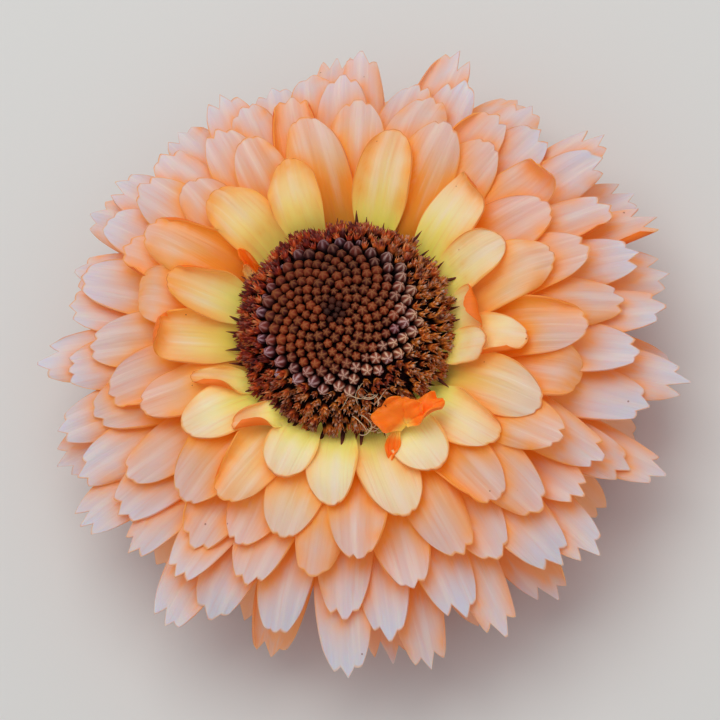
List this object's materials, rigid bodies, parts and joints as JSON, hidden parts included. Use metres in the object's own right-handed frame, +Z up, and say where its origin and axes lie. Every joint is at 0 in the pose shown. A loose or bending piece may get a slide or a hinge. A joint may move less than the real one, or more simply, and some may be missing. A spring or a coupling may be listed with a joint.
{
  "type": "marigold flower",
  "caption": "Head of a double pot marigold, picked under its bracts: layered peach petals around a dark domed disc, resting face up.",
  "frame": {"origin": "middle of the small flat scar under the head, on the surface it rests on", "axes": "+Z up along the head's axis, out of the disc of florets; +Y towards the side whose inner petals stand up most"},
  "size_m": [0.0816, 0.0823, 0.0317],
  "materials": {
    "green_base": "soft matte green plant tissue with fine hairs",
    "petals": "thin silky petals, yellow at the root, peach to pale pink at the tip",
    "disc_florets": "dark maroon buds with orange-brown tips"
  },
  "bodies": {
    "root": {"green_base": "green_base", "petals": "petals", "disc_florets": "disc_florets"}
  },
  "joints": []
}
